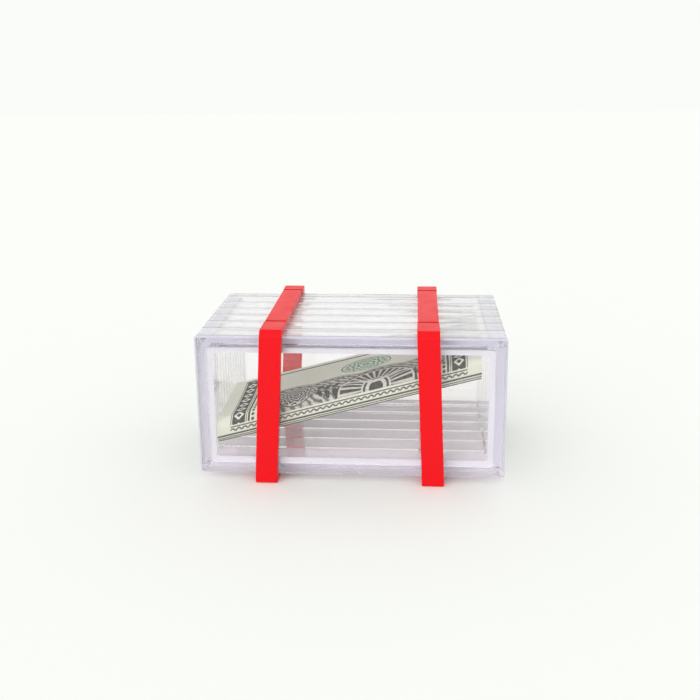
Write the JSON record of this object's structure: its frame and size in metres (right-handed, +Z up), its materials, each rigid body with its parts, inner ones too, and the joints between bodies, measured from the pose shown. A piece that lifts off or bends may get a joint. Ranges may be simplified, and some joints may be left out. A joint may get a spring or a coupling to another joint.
{
  "type": "magic trick box",
  "caption": "Clear rectangular trick box of stacked moulded frames with end panes, held by red ring straps that slide off sideways, with a paper note wedged inside.",
  "frame": {"origin": "on the ground below the middle of the box", "axes": "+X along the box to the right seen from the front, +Y from front to back, +Z up"},
  "size_m": [0.176, 0.1066, 0.0916],
  "materials": {
    "clear_plastic": "clear moulded polystyrene with a faint lavender tint",
    "red_plastic": "glossy moulded ABS",
    "note_paper": "printed paper"
  },
  "bodies": {
    "stack": {"front_frame": "clear_plastic", "frame_2": "clear_plastic", "frame_3": "clear_plastic", "frame_4": "clear_plastic", "frame_5": "clear_plastic", "frame_6": "clear_plastic", "rear_frame": "clear_plastic", "front_pane": "clear_plastic", "rear_pane": "clear_plastic", "locating_pins_1": "clear_plastic", "locating_pins_2": "clear_plastic", "locating_pins_3": "clear_plastic", "locating_pins_4": "clear_plastic", "locating_pins_5": "clear_plastic", "locating_pins_6": "clear_plastic", "paper_note": "note_paper"},
    "left_strap": {"left_strap_front_clip": "red_plastic", "left_strap_rear_clip": "red_plastic", "left_strap_top_bar": "red_plastic", "left_strap_bottom_bar": "red_plastic"},
    "right_strap": {"right_strap_front_clip": "red_plastic", "right_strap_rear_clip": "red_plastic", "right_strap_top_bar": "red_plastic", "right_strap_bottom_bar": "red_plastic"}
  },
  "joints": [
    {"name": "left_strap_slide", "type": "slide", "parent": "stack", "child": "left_strap", "axis": [-1, 0, 0], "range_m": [0, 0.056]},
    {"name": "right_strap_slide", "type": "slide", "parent": "stack", "child": "right_strap", "axis": [1, 0, 0], "range_m": [0, 0.056]}
  ]
}
